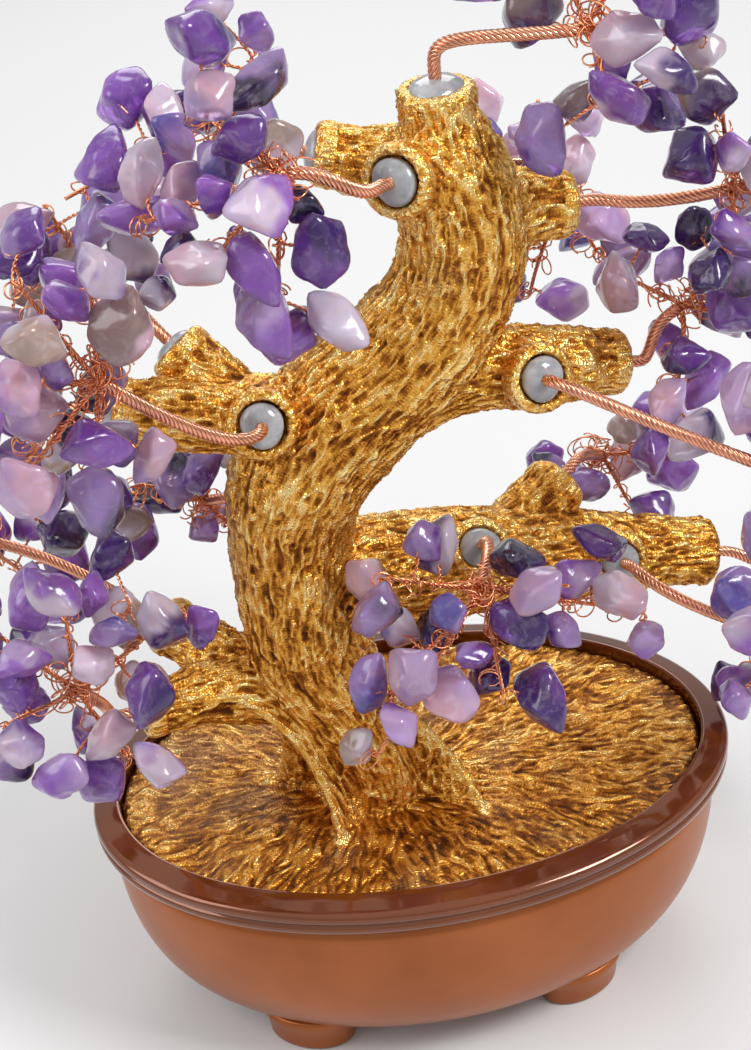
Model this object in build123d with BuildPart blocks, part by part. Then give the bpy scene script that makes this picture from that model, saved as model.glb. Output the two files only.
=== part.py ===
"""Gemstone tree ornament: a gold cast tree in an oval footed pot, with copper boughs of tumbled stones.

Millimetres. The origin is on the table under the middle of the pot, X runs along the pot's long
side and Z is up. The viewer's side is -Y.
"""

import os
from math import atan2, cos, dist, pi, sin, sqrt

import numpy as np
from build123d import *

# Pot
pot_length = 130.0
pot_depth = 88.0
pot_height = 50.0  # table to the rim's inner edge
pot_wall = 4.0
foot_height = 5.0
foot_length = 18.0
foot_width = 12.0
foot_splay = 25.0  # degrees off the long side
rim_width = 5.5
rim_fall = 1.5  # how far the rim's outer edge lies under its inner edge
rim_band = 5.0  # height of the rim's outer face
lip_height = 1.3  # the narrow line under the rim
lip_inset = 1.2
ledge_depth = 15.0  # rim's inner edge down to the ledge that the ground rests on
ledge_width = 3.5
bowl_base_share = 0.555  # bowl's width at its base over its width at the rim
bowl_top_share = 0.955
bowl_power = 2.6  # roundness of the bowl's side
bowl_level_shares = (0.0, 0.06, 0.18, 0.42, 1.0)
oval_sides = 48  # of the pot and the ground, which are ovals of flat facets
foot_sides = 16
foot_place_shares = (0.43, 0.50)  # foot's middle over half the pot's length and depth

# Tree casting
tree_height = 142.0  # soil to the mouth of the top stub
trunk_radius = 13.0
soil_height = 49.0  # table to the soil at the trunk
soil_edge_drop = 2.0
ground_gap = 0.5  # ground to the pot's wall
root_ridge = 0.8  # half of a root fin's thickness along its ridge
root_web = 2.5  # half of it in the trunk
root_spans = 5
root_level = 3  # the row of the trunk that the fins climb to
tuft_count = 56
tuft_length = 8.0
tuft_width = 0.8  # half of it, at the end nearer the trunk
tuft_tip_share = 0.3  # width at the other end over that
tuft_rise = 0.9  # over the soil
tuft_root = 0.5  # sunk in the soil
mound_shares = (0.55, 0.62)  # the mound's width over the ground's, and its height over the edge drop
bark_shares = (1.07, 0.95, 1.03, 0.93, 1.05, 0.97, 1.08, 0.94, 1.02, 0.96, 1.05, 0.92)
stub_bark_shares = (1.03, 0.97, 1.04, 0.99, 1.02, 0.96, 1.05, 0.98, 1.01, 0.97)

# Sockets, beads of glue and boughs
mouth_radius = 5.6
bore_radius = 3.7
bore_depth = 5.0
bore_sides = 8
bead_gap = 0.1
bead_dome = 1.9
bead_taper = 38.0  # degrees
stem_radius = 1.15  # the strands twisted together
stem_sides = 6
stem_foot = 0.4  # glue left under the stem's end
stem_lead = 4.0  # straight length out of the socket
stem_spans = 5
branch_radius = 0.55
branch_sides = 3
twig_radius = 0.45
twig_sides = 3
twig_gap = 0.1  # a wire to the one that it leaves

# Stones
chip_length = 14.4
chip_width = 11.2
chip_thickness = 9.2
chip_corners = 9
chip_gap = 0.3  # stone to stone, and stone to wire
chip_hold = 0.5  # a stone nearer than this to its branch is held by the branch's own strands
chip_step = 0.35  # how much further out a stone is tried when its place is taken
chip_tries = 30
chip_turns = 5
chip_start_share = 0.9  # place of the first stone on a branch, over the stones' spacing
chip_lean_share = 0.35  # how far the stones lean towards the branch's tip
chip_spread_share = 0.22  # how much longer or shorter than the middle size a stone may be
chip_pull_share = 0.14  # how far a corner may be drawn in
limb_gap = 1.0
limb_ball_shares = (0.0, 0.25, 0.5, 0.75, 1.0)
pot_clear_share = 1.25  # stones keep out of a cylinder this much larger in area than the pot
golden_turn = pi * (3 - sqrt(5))

# Limbs of the casting: x, y and up as shares of the tree's height, girth as a share of the trunk's
limb_shares = {
    "trunk": [
        (-0.063, -0.025, -0.040, 0.95),
        (-0.065, -0.025, 0.030, 0.86),
        (-0.092, -0.020, 0.115, 0.85),
        (-0.118, -0.013, 0.190, 0.88),
        (-0.131, -0.008, 0.280, 0.90),
        (-0.134, 0.000, 0.400, 0.88),
        (-0.115, 0.000, 0.500, 1.00),
        (-0.050, 0.000, 0.580, 1.02),
        (0.030, -0.010, 0.650, 0.94),
        (0.092, -0.018, 0.730, 0.86),
        (0.116, -0.020, 0.810, 0.84),
        (0.105, -0.020, 0.890, 0.78),
        (0.095, -0.020, 0.950, 0.60),
    ],
    "left_arm": [
        (-0.070, 0.000, 0.555, 0.72),
        (-0.150, -0.003, 0.595, 0.58),
        (-0.230, -0.008, 0.612, 0.52),
        (-0.290, -0.012, 0.628, 0.47),
    ],
    "right_arm": [
        (-0.010, 0.000, 0.585, 0.74),
        (0.090, -0.006, 0.618, 0.60),
        (0.180, -0.006, 0.612, 0.56),
        (0.260, 0.008, 0.594, 0.51),
    ],
    "lower_right_arm": [
        (-0.090, 0.010, 0.320, 0.86),
        (0.020, 0.040, 0.300, 0.84),
        (0.130, 0.062, 0.277, 0.80),
        (0.240, 0.080, 0.252, 0.72),
        (0.340, 0.090, 0.228, 0.62),
        (0.410, 0.096, 0.213, 0.55),
    ],
    "lower_left_arm": [
        (-0.110, -0.005, 0.200, 0.80),
        (-0.160, -0.004, 0.172, 0.64),
        (-0.240, -0.010, 0.180, 0.52),
        (-0.300, -0.024, 0.188, 0.44),
    ],
}

# Root fins: the top, the pull and the foot of each ridge's curve
root_shares = [
    ((-0.225, -0.056, 0.190), (-0.123, -0.088, 0.116), (-0.125, -0.149, -0.014)),
    ((-0.063, -0.028, 0.176), (0.077, -0.056, 0.028), (0.077, -0.137, -0.014)),
    ((-0.067, -0.007, 0.162), (-0.007, 0.011, 0.014), (0.045, 0.042, -0.014)),
    ((-0.120, 0.056, 0.176), (-0.080, 0.050, 0.021), (-0.092, 0.125, -0.014)),
    ((-0.190, -0.007, 0.148), (-0.150, -0.011, 0.014), (-0.222, 0.010, -0.014)),
]

# Boughs, in shares of the tree's height: the stub's root and mouth, then the stem's course, the
# place where its strands part, and the ends of its branches. Girth and mouth are shares of the
# trunk's radius and of the mouth's, and stones is a count.
boughs = {
    "top": dict(
        root=(0.095, -0.020, 0.920), mouth=(0.093, -0.020, 1.000), girth=0.56, flare=1.12,
        course=[(0.100, -0.040, 1.070), (0.165, -0.062, 1.065)], parting=(0.250, -0.080, 1.070),
        ends=[(0.38, -0.10, 1.05), (0.34, -0.06, 1.19), (0.24, 0.00, 1.16), (0.27, -0.14, 1.01)],
        stones=20,
    ),
    "upper_left_front": dict(
        root=(0.080, -0.020, 0.900), mouth=(0.025, -0.096, 0.926), girth=0.52, flare=1.0,
        course=[(-0.020, -0.165, 0.930), (-0.050, -0.165, 0.985)], parting=(-0.100, -0.165, 0.985),
        ends=[(-0.26, -0.14, 0.94), (-0.13, -0.14, 0.80), (-0.20, -0.19, 0.90), (-0.18, -0.11, 1.04)],
        stones=24,
    ),
    "upper_left": dict(
        root=(0.090, 0.000, 0.890), mouth=(-0.050, 0.016, 0.926), girth=0.62, flare=0.86,
        course=[(-0.100, 0.050, 0.940)], parting=(-0.150, 0.075, 0.960),
        ends=[(-0.24, 0.10, 0.93), (-0.35, 0.09, 0.88), (-0.10, 0.16, 1.00)],
        stones=14,
    ),
    "upper_right": dict(
        root=(0.115, -0.012, 0.835), mouth=(0.252, 0.012, 0.818), girth=0.66, flare=0.94,
        course=[(0.330, 0.010, 0.800), (0.390, -0.020, 0.815)], parting=(0.440, -0.040, 0.830),
        ends=[(0.42, -0.07, 0.94), (0.43, -0.05, 0.74), (0.56, -0.06, 0.88), (0.56, -0.02, 0.77)],
        stones=18,
    ),
    "upper_back": dict(
        root=(0.105, -0.015, 0.790), mouth=(0.135, 0.082, 0.800), girth=0.54, flare=0.95,
        course=[(0.190, 0.170, 0.820), (0.260, 0.220, 0.800)], parting=(0.290, 0.225, 0.740),
        ends=[(0.27, 0.24, 0.86), (0.17, 0.24, 0.79), (0.34, 0.22, 0.64), (0.25, 0.24, 0.58)],
        stones=18,
    ),
    "middle_right_front": dict(
        root=(0.175, -0.010, 0.606), mouth=(0.192, -0.086, 0.634), girth=0.52, flare=1.0,
        course=[(0.270, -0.140, 0.610), (0.370, -0.200, 0.570)], parting=(0.450, -0.230, 0.540),
        ends=[(0.57, -0.24, 0.53), (0.50, -0.20, 0.65), (0.50, -0.29, 0.42)],
        stones=15,
    ),
    "middle_right": dict(
        root=(0.215, 0.002, 0.604), mouth=(0.315, 0.020, 0.580), girth=0.55, flare=0.96,
        course=[(0.350, 0.030, 0.620)], parting=(0.400, 0.030, 0.640),
        ends=[(0.48, 0.01, 0.72), (0.38, -0.03, 0.53), (0.33, 0.07, 0.68), (0.52, 0.02, 0.60)],
        stones=18,
    ),
    "middle_left_front": dict(
        root=(-0.150, -0.004, 0.598), mouth=(-0.158, -0.086, 0.628), girth=0.54, flare=1.0,
        course=[(-0.190, -0.150, 0.630), (-0.250, -0.180, 0.690)], parting=(-0.335, -0.200, 0.780),
        ends=[(-0.41, -0.20, 0.92), (-0.33, -0.19, 0.91), (-0.45, -0.21, 0.67), (-0.36, -0.17, 0.66),
              (-0.51, -0.19, 0.80)],
        stones=24,
    ),
    "middle_left": dict(
        root=(-0.250, -0.009, 0.617), mouth=(-0.337, -0.015, 0.643), girth=0.50, flare=0.92,
        course=[(-0.370, 0.000, 0.645)], parting=(-0.420, 0.020, 0.620),
        ends=[(-0.48, 0.04, 0.49), (-0.56, 0.03, 0.66), (-0.44, 0.10, 0.68)],
        stones=12,
    ),
    "middle_left_back": dict(
        root=(-0.175, 0.006, 0.596), mouth=(-0.246, 0.056, 0.676), girth=0.54, flare=0.92,
        course=[(-0.290, 0.120, 0.720)], parting=(-0.330, 0.160, 0.730),
        ends=[(-0.42, 0.18, 0.74), (-0.38, 0.19, 0.83), (-0.26, 0.23, 0.74)],
        stones=13,
    ),
    "lower_right_front": dict(
        root=(0.110, 0.056, 0.280), mouth=(0.117, -0.004, 0.342), girth=0.58, flare=0.95,
        course=[(0.120, -0.050, 0.370)], parting=(0.095, -0.120, 0.365),
        ends=[(-0.04, -0.15, 0.42), (-0.04, -0.19, 0.27), (0.10, -0.20, 0.25), (0.20, -0.16, 0.37),
              (0.30, -0.15, 0.30), (-0.07, -0.21, 0.19)],
        stones=24,
    ),
    "lower_right": dict(
        root=(0.360, 0.092, 0.223), mouth=(0.462, 0.100, 0.200), girth=0.58, flare=1.18,
        course=[(0.530, 0.100, 0.165)], parting=(0.575, 0.090, 0.155),
        ends=[(0.645, 0.08, 0.15), (0.62, 0.05, 0.03), (0.59, 0.12, 0.26)],
        stones=14,
    ),
    "lower_right_back": dict(
        root=(0.150, 0.070, 0.270), mouth=(0.262, 0.152, 0.325), girth=0.62, flare=1.0,
        course=[(0.310, 0.200, 0.330)], parting=(0.345, 0.240, 0.300),
        ends=[(0.44, 0.23, 0.30), (0.40, 0.25, 0.18), (0.30, 0.26, 0.24)],
        stones=14,
    ),
    "lower_right_side": dict(
        root=(0.300, 0.084, 0.238), mouth=(0.314, 0.014, 0.268), girth=0.52, flare=0.95,
        course=[(0.330, -0.060, 0.270), (0.400, -0.110, 0.250)], parting=(0.460, -0.130, 0.230),
        ends=[(0.46, -0.14, 0.12), (0.56, -0.15, 0.20), (0.50, -0.17, 0.31)],
        stones=13,
    ),
    "lower_left_front": dict(
        root=(-0.270, -0.018, 0.184), mouth=(-0.360, -0.040, 0.192), girth=0.46, flare=0.92,
        course=[(-0.395, -0.080, 0.220), (-0.400, -0.130, 0.280)], parting=(-0.430, -0.160, 0.330),
        ends=[(-0.35, -0.15, 0.44), (-0.43, -0.14, 0.48), (-0.53, -0.18, 0.31), (-0.39, -0.18, 0.24),
              (-0.51, -0.16, 0.43), (-0.29, -0.12, 0.40)],
        stones=24,
    ),
    "lower_left_back": dict(
        root=(-0.190, 0.000, 0.172), mouth=(-0.318, 0.096, 0.232), girth=0.54, flare=0.95,
        course=[(-0.400, 0.150, 0.290), (-0.480, 0.180, 0.330)], parting=(-0.540, 0.195, 0.345),
        ends=[(-0.65, 0.18, 0.28), (-0.59, 0.21, 0.43), (-0.50, 0.24, 0.24)],
        stones=14,
    ),
    "lower_back": dict(
        root=(-0.118, 0.000, 0.350), mouth=(-0.145, 0.092, 0.372), girth=0.54, flare=0.95,
        course=[(-0.180, 0.170, 0.370)], parting=(-0.230, 0.220, 0.340),
        ends=[(-0.32, 0.24, 0.37), (-0.19, 0.25, 0.25), (-0.22, 0.25, 0.44)],
        stones=14,
    ),
}

# Worked out from the sizes above
half_length = pot_length / 2
half_depth = pot_depth / 2
rim_outer_height = pot_height - rim_fall
band_base = rim_outer_height - rim_band
bowl_top = band_base - lip_height
ledge_height = pot_height - ledge_depth
soil_edge_height = soil_height - soil_edge_drop
mound_height = soil_edge_height + soil_edge_drop * mound_shares[1]
ground_inset = rim_width + ground_gap
ground_half_length = half_length - ground_inset
ground_half_depth = half_depth - ground_inset
strand_ring = stem_radius + branch_radius + twig_gap  # the parted strands lie round the end of the stem


def at(x_share, y_share, up_share):
    """A point over the pot's middle, counted up from the soil, in shares of the tree's height."""
    return Vector(x_share, y_share, up_share) * tree_height + Vector(0, 0, soil_height)


def square_on(point, direction):
    """The plane through a point, square to a direction, turned alike all along a limb or a wire."""
    ahead = direction.normalized()
    steady = Vector(0, 1, 0) if abs(ahead.Y) < 0.7 else Vector(1, 0, 0)
    return Plane(origin=point, x_dir=ahead.cross(steady).cross(ahead), z_dir=ahead)


def bezier(points, share):
    """The point at a share of the curve that these points pull."""
    while len(points) > 1:
        points = [a + (b - a) * share for a, b in zip(points, points[1:])]
    return points[0]


def oval(half_long, half_short, sides):
    """The corners of an oval of flat facets."""
    turns = [2 * pi * side / sides for side in range(sides)]
    return [(half_long * cos(turn), half_short * sin(turn)) for turn in turns]


def placed(plane, corners):
    """Flat corners put on a plane."""
    return [plane.origin + plane.x_dir * x + plane.y_dir * y for x, y in corners]


def skin(rings):
    """A solid of flat facets over flat rings that have the same number of corners."""
    outlines = [rings[0], rings[-1]]
    for low, high in zip(rings, rings[1:]):
        for k in range(len(low)):
            outlines += [(low[k - 1], low[k], high[k]), (low[k - 1], high[k], high[k - 1])]
    return Solid(Shell([Face(Wire.make_polygon(outline, close=True)) for outline in outlines]))


def bowl_share(level):
    """The bowl's width at a level between its base and its top, over the pot's."""
    rounded = (1 - (1 - level) ** bowl_power) ** (1 / bowl_power)
    return bowl_base_share + (bowl_top_share - bowl_base_share) * rounded


def bowl_height(level):
    return foot_height + (bowl_top - foot_height) * level


trunk_foot = at(*limb_shares["trunk"][1][:2], 0) - Vector(0, 0, soil_height)


# Pot: bowl, lip, rim and feet in one casting, with a ledge inside for the ground
with BuildPart() as pot:
    rings = [(bowl_height(level), half_length * bowl_share(level), half_depth * bowl_share(level))
             for level in bowl_level_shares]
    rings += [(height, half_length - inset, half_depth - inset) for height, inset in (
        (bowl_top, lip_inset), (band_base, lip_inset), (band_base, 0), (rim_outer_height, 0),
        (pot_height, rim_width / 2))]
    add(skin([placed(Plane.XY.offset(height), oval(*halves, oval_sides)) for height, *halves in rings]))
    foot_top = foot_height + pot_wall
    for x_side, y_side in ((-1, -1), (-1, 1), (1, -1), (1, 1)):
        middle = Vector(x_side * foot_place_shares[0] * half_length, y_side * foot_place_shares[1] * half_depth)
        base = Plane(middle).rotated((0, 0, -x_side * y_side * foot_splay))
        add(skin([
            placed(plane, oval(foot_length / 2 + spread, foot_width / 2 + spread, foot_sides))
            for plane, spread in ((base, 0), (base.offset(foot_top), pot_wall / 2))
        ]))
    floor_level = bowl_level_shares[2]
    rings = [(bowl_height(floor_level), half_length * bowl_share(floor_level) - pot_wall,
              half_depth * bowl_share(floor_level) - pot_wall)]
    rings += [(height, half_length - inset, half_depth - inset) for height, inset in (
        (ledge_height, rim_width + ledge_width), (ledge_height, rim_width), (pot_height, rim_width))]
    hollow = skin([placed(Plane.XY.offset(height), oval(*halves, oval_sides)) for height, *halves in rings])
    add(hollow, mode=Mode.SUBTRACT)
pot.part.label = "pot"


def ridged(girth, ridge_shares):
    """The corners of a section with ridges like bark."""
    turns = [2 * pi * side / len(ridge_shares) for side in range(len(ridge_shares))]
    return [(girth * ridge * cos(turn), girth * ridge * sin(turn)) for ridge, turn in zip(ridge_shares, turns)]


def limb_sections(route_shares):
    """The planes square to a limb's run, and the limb's radius at each."""
    points = [at(*row[:3]) for row in route_shares]
    ahead = points[1:] + points[-1:]
    behind = points[:1] + points[:-1]
    planes = [square_on(point, after - before) for point, after, before in zip(points, ahead, behind)]
    return [(plane, trunk_radius * row[3]) for plane, row in zip(planes, route_shares)]


def socket_plane(bough):
    """The mouth of a bough's socket, looking out of it."""
    mouth = at(*bough["mouth"])
    return square_on(mouth, (mouth - at(*bough["root"])).normalized())


def ground_level(point):
    """The mound's height under a point."""
    share = sqrt((point.X / ground_half_length) ** 2 + (point.Y / ground_half_depth) ** 2)
    slope = min(1, (1 - share) / (1 - mound_shares[0]))
    return soil_edge_height + (mound_height - soil_edge_height) * slope


# Tree casting: the ground with its tufts of grass, root fins, limbs and bored stubs
with BuildPart() as tree_casting:
    add(skin([
        placed(Plane.XY.offset(height), oval(ground_half_length * share, ground_half_depth * share, oval_sides))
        for height, share in ((ledge_height, 1), (soil_edge_height, 1), (mound_height, mound_shares[0]))
    ]))
    limbs = []
    for route_shares in limb_shares.values():
        sections = limb_sections(route_shares)
        limbs.append(skin([placed(plane, ridged(girth, bark_shares)) for plane, girth in sections]))
    for bough in boughs.values():
        root = at(*bough["root"])
        root_corners = ridged(trunk_radius * bough["girth"], stub_bark_shares)
        mouth_corners = ridged(mouth_radius * bough["flare"], stub_bark_shares)
        root_plane = square_on(root, at(*bough["mouth"]) - root)
        limbs.append(skin([placed(root_plane, root_corners), placed(socket_plane(bough), mouth_corners)]))
    for tuft in range(tuft_count):
        share, turn = sqrt((tuft + 1) / (tuft_count + 1)), tuft * golden_turn
        near_end = Vector(share * ground_half_length * cos(turn), share * ground_half_depth * sin(turn), 0)
        outward = (near_end - trunk_foot).normalized()
        near_end -= outward * tuft_length
        if (near_end - trunk_foot).length < trunk_radius * limb_shares["trunk"][1][3]:
            continue
        far_end = near_end + outward * tuft_length
        ends = []
        for end, half in ((near_end, tuft_width), (far_end, tuft_width * tuft_tip_share)):
            plane = square_on(Vector(end.X, end.Y, ground_level(end)), outward)
            ends.append(placed(plane, [(-half, -tuft_root), (half, -tuft_root), (0, tuft_rise)]))
        limbs.append(skin(ends))
    for top, pull, foot in root_shares:
        ridge = [at(*row) for row in (foot, pull, top)]
        core = [at(*limb_shares["trunk"][0][:3]), at(*limb_shares["trunk"][root_level][:3])]
        across = (ridge[0] - core[0]).cross(Vector(0, 0, 1)).normalized()
        rings = []
        for span in range(root_spans + 1):
            edge, middle = bezier(ridge, span / root_spans), bezier(core, span / root_spans)
            rings.append([edge + across * root_ridge, edge - across * root_ridge,
                          middle - across * root_web, middle + across * root_web])
        limbs.append(skin(rings))
    add(limbs)
    for bough in boughs.values():
        with BuildSketch(socket_plane(bough)):
            RegularPolygon(bore_radius, bore_sides)
    extrude(amount=-bore_depth, mode=Mode.SUBTRACT)
tree_casting.part.label = "tree_casting"


def stem_points(bough):
    """The stem's course: out of the glue, straight out of the socket, then along its curve."""
    seat = socket_plane(bough)
    start = seat.origin + seat.z_dir * (stem_foot - bore_depth)
    lead = seat.origin + seat.z_dir * stem_lead
    course = [at(*row) for row in bough["course"] + [bough["parting"]]]
    pull = [lead, lead + seat.z_dir * stem_lead] + course
    return [start] + [bezier(pull, span / stem_spans) for span in range(stem_spans + 1)]


def branch_lines(bough):
    """The branches' starts and ends: the strands part round the stem's end, in the order of their turns."""
    *_, before, end = stem_points(bough)
    face = square_on(end, end - before)
    ends = [at(*row) for row in bough["ends"]]
    ends.sort(key=lambda tip: atan2((tip - end).dot(face.y_dir), (tip - end).dot(face.x_dir)))
    turns = [atan2((tip - end).dot(face.y_dir), (tip - end).dot(face.x_dir)) for tip in ends]
    places = [2 * pi * number / len(ends) for number in range(len(ends))]
    lead_turn = atan2(
        sum(sin(turn - place) for turn, place in zip(turns, places)),
        sum(cos(turn - place) for turn, place in zip(turns, places)),
    )
    lines = []
    for tip, place in zip(ends, places):
        angle = lead_turn + place
        side = face.x_dir * cos(angle) + face.y_dir * sin(angle)
        lines.append((end + side * strand_ring + face.z_dir * (branch_radius + twig_gap), tip))
    return lines


def rod(start, end, radius, sides):
    """A straight wire of a few sides."""
    with BuildPart() as piece:
        with BuildSketch(square_on(start, end - start)):
            RegularPolygon(radius, sides)
        extrude(amount=(end - start).length)
    return piece.part


def box_round(start, end, radius):
    """The corners and the face directions of a square bar round a wire."""
    plane = square_on(start, end - start)
    across, up = plane.x_dir * radius, plane.y_dir * radius
    corners = [tip + across * a + up * b for tip in (start, end) for a in (-1, 1) for b in (-1, 1)]
    return solid_shape(as_array(corners), as_array([plane.x_dir, plane.y_dir, plane.z_dir]))


def as_array(vectors):
    return np.array([tuple(vector) for vector in vectors])


def hull_faces(corners):
    """The triangles of the convex hull of a few corners, each turned outwards."""
    faces = []
    count = len(corners)
    middle = corners.mean(axis=0)
    for a in range(count):
        for b in range(a + 1, count):
            for c in range(b + 1, count):
                normal = np.cross(corners[b] - corners[a], corners[c] - corners[a])
                if normal @ (corners[a] - middle) < 0:
                    normal, order = -normal, (a, c, b)
                else:
                    order = (a, b, c)
                others = [k for k in range(count) if k not in order]
                if ((corners[others] - corners[a]) @ normal < 0).all():
                    faces.append((order, normal / np.linalg.norm(normal)))
    return faces


def chip_form(number):
    """The corners of one tumbled stone about its middle: a golden spiral on an ellipsoid, drawn in unevenly."""
    size = 1 + chip_spread_share * sin(number * golden_turn)
    rows = []
    for corner in range(chip_corners):
        height = 1 - 2 * (corner + 0.5) / chip_corners
        ring, turn = sqrt(1 - height**2), corner * golden_turn + number
        pull = size * (1 - chip_pull_share * (1 + sin((number + corner) * (number - corner))))
        rows.append((height * chip_length, ring * cos(turn) * chip_width, ring * sin(turn) * chip_thickness))
        rows[-1] = [length / 2 * pull for length in rows[-1]]
    return np.array(rows)


def turned(corners, number):
    """The corners turned about the middle, another way for each number."""
    lean, spin = number * golden_turn, number * golden_turn * golden_turn
    along = np.array([cos(lean) * cos(spin), sin(lean) * cos(spin), sin(spin)])
    side = np.cross(along, [cos(spin), sin(lean), golden_turn])
    side /= np.linalg.norm(side)
    return corners @ np.array([along, side, np.cross(along, side)])


def solid_shape(corners, faces):
    """What the tests of clearance need: corners, face directions, middle and reach."""
    middle = corners.mean(axis=0)
    return corners, faces, middle, float(np.linalg.norm(corners - middle, axis=1).max())


def apart(shape, other, gap):
    """Whether two convex shapes lie at least a gap apart along one of their face directions."""
    between = other[2] - shape[2]
    axes = np.vstack([shape[1], other[1], between / np.linalg.norm(between)])
    near, far = shape[0] @ axes.T, other[0] @ axes.T
    return bool(((far.min(axis=0) - near.max(axis=0) > gap) | (near.min(axis=0) - far.max(axis=0) > gap)).any())


def free_of(shape, others, gap):
    """Whether a shape is clear of all the others, looking closely only at the near ones."""
    return all(
        dist(shape[2], other[2]) > shape[3] + other[3] + gap or apart(shape, other, gap) for other in others
    )


def off_casting(shape, depths):
    """Whether a stone, with its faces' depths under its middle, is clear of the limbs, soil and pot."""
    corners, faces, middle, reach = shape
    for ball, radius in limb_balls:
        if dist(ball, middle) < reach + radius + limb_gap:
            if (faces @ (ball - middle) - depths).max() < radius + limb_gap:
                return False
    over_pot = (corners[:, 0] / half_length) ** 2 + (corners[:, 1] / half_depth) ** 2 < pot_clear_share
    return not (over_pot & (corners[:, 2] < pot_height + limb_gap)).any()


# Balls that fill the limbs and stubs, for keeping the stones off them
limb_balls = []
runs = [[(at(*row[:3]), trunk_radius * row[3]) for row in rows] for rows in limb_shares.values()]
for bough in boughs.values():
    stub_ends = (at(*bough["root"]), trunk_radius * bough["girth"]), (at(*bough["mouth"]), mouth_radius)
    runs.append(stub_ends)
for run in runs:
    for (start, girth), (end, end_girth) in zip(run, run[1:]):
        for share in limb_ball_shares:
            middle = start + (end - start) * share
            limb_balls.append((as_array([middle])[0], girth + (end_girth - girth) * share))

# The wires that the stones keep clear of
stem_bars, branch_bars = {}, {}
for name, bough in boughs.items():
    points = stem_points(bough)
    stem_bars[name] = [box_round(start, end, stem_radius) for start, end in zip(points, points[1:])]
    branch_bars[name] = [box_round(start, end, branch_radius) for start, end in branch_lines(bough)]
    for number, bar in enumerate(branch_bars[name]):
        if not free_of(bar, stem_bars[name], 0):
            print(name, "branch", number, "meets its stem")
for name in boughs:
    others = [bar for other in boughs if other != name for bar in stem_bars[other] + branch_bars[other]]
    for bar in stem_bars[name] + branch_bars[name]:
        if not free_of(bar, others, 0):
            print(name, "has a wire that meets another bough's at", bar[2].round(1))
wires = [bar for bars in (*stem_bars.values(), *branch_bars.values()) for bar in bars]

# Growth: stone after stone along the branches, a golden turn apart, each at the first free place
stones, twigs = {name: [] for name in boughs}, {name: [] for name in boughs}
placed_stones, placed_twigs = [], []
number = 0
for name, bough in boughs.items():
    lines = branch_lines(bough)
    rounds = -(-bough["stones"] // len(lines))
    for stone in range(bough["stones"]):
        number += 1
        branch_start, branch_end = lines[stone % len(lines)]
        branch = branch_end - branch_start
        site = branch_start + branch * ((stone // len(lines) + chip_start_share) / rounds)
        plane = square_on(site, branch)
        form = turned(chip_form(number), number)
        faces = hull_faces(form)
        normals = np.array([normal for _, normal in faces])
        form -= form.mean(axis=0)
        depths = (form[[order[0] for order, _ in faces]] * normals).sum(axis=1)
        for attempt in range(chip_tries * chip_turns):
            turn = (number + attempt // chip_tries) * golden_turn
            lean = plane.x_dir * cos(turn) + plane.y_dir * sin(turn) + plane.z_dir * chip_lean_share
            out = as_array([lean.normalized()])[0]
            slopes = normals @ -out
            nearest = (depths[slopes > 0] / slopes[slopes > 0]).min()
            spare = chip_step * (attempt % chip_tries)
            middle = as_array([site])[0] + out * (branch_radius + chip_gap + nearest + spare)
            shape = solid_shape(form + middle, normals)
            if not off_casting(shape, depths):
                continue
            if not free_of(shape, wires + placed_stones + placed_twigs, chip_gap):
                continue
            start = site + Vector(*out) * (branch_radius + twig_gap)
            tip = Vector(*(middle - out * (nearest + chip_gap)))
            bar = box_round(start, tip, twig_radius)
            if spare > chip_hold and not free_of(bar, placed_stones, twig_gap):
                continue
            stones[name].append((shape[0], [order for order, _ in faces]))
            placed_stones.append(shape)
            if spare > chip_hold:
                twigs[name].append((start, tip))
                placed_twigs.append(bar)
            break
    print(name, "stones", len(stones[name]), "of", bough["stones"], "twigs", len(twigs[name]))

os.makedirs("parts", exist_ok=True)
for piece in (pot, tree_casting):
    export_step(piece.part, f"parts/{piece.part.label}.step")
    print(piece.part.label, round(piece.part.volume), len(piece.part.solids()), piece.part.is_valid)

# Glue beads: one in each socket, domed, with the stem's end set in it
with BuildPart() as glue_beads:
    domes = []
    for bough in boughs.values():
        seat = socket_plane(bough)
        with BuildSketch(seat):
            RegularPolygon(bore_radius - bead_gap, bore_sides)
        domes.append(extrude(amount=-bore_depth, mode=Mode.PRIVATE))
        with BuildSketch(seat):
            RegularPolygon(bore_radius - bead_gap, bore_sides)
        domes.append(extrude(amount=bead_dome, taper=bead_taper, mode=Mode.PRIVATE))
    add(domes)
    for bough in boughs.values():
        with BuildSketch(socket_plane(bough).offset(bead_dome)):
            RegularPolygon(stem_radius + bead_gap, stem_sides)
    extrude(amount=stem_foot - bore_depth - bead_dome, mode=Mode.SUBTRACT)
glue_beads.part.label = "glue_beads"
export_step(glue_beads.part, "parts/glue_beads.step")

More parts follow.
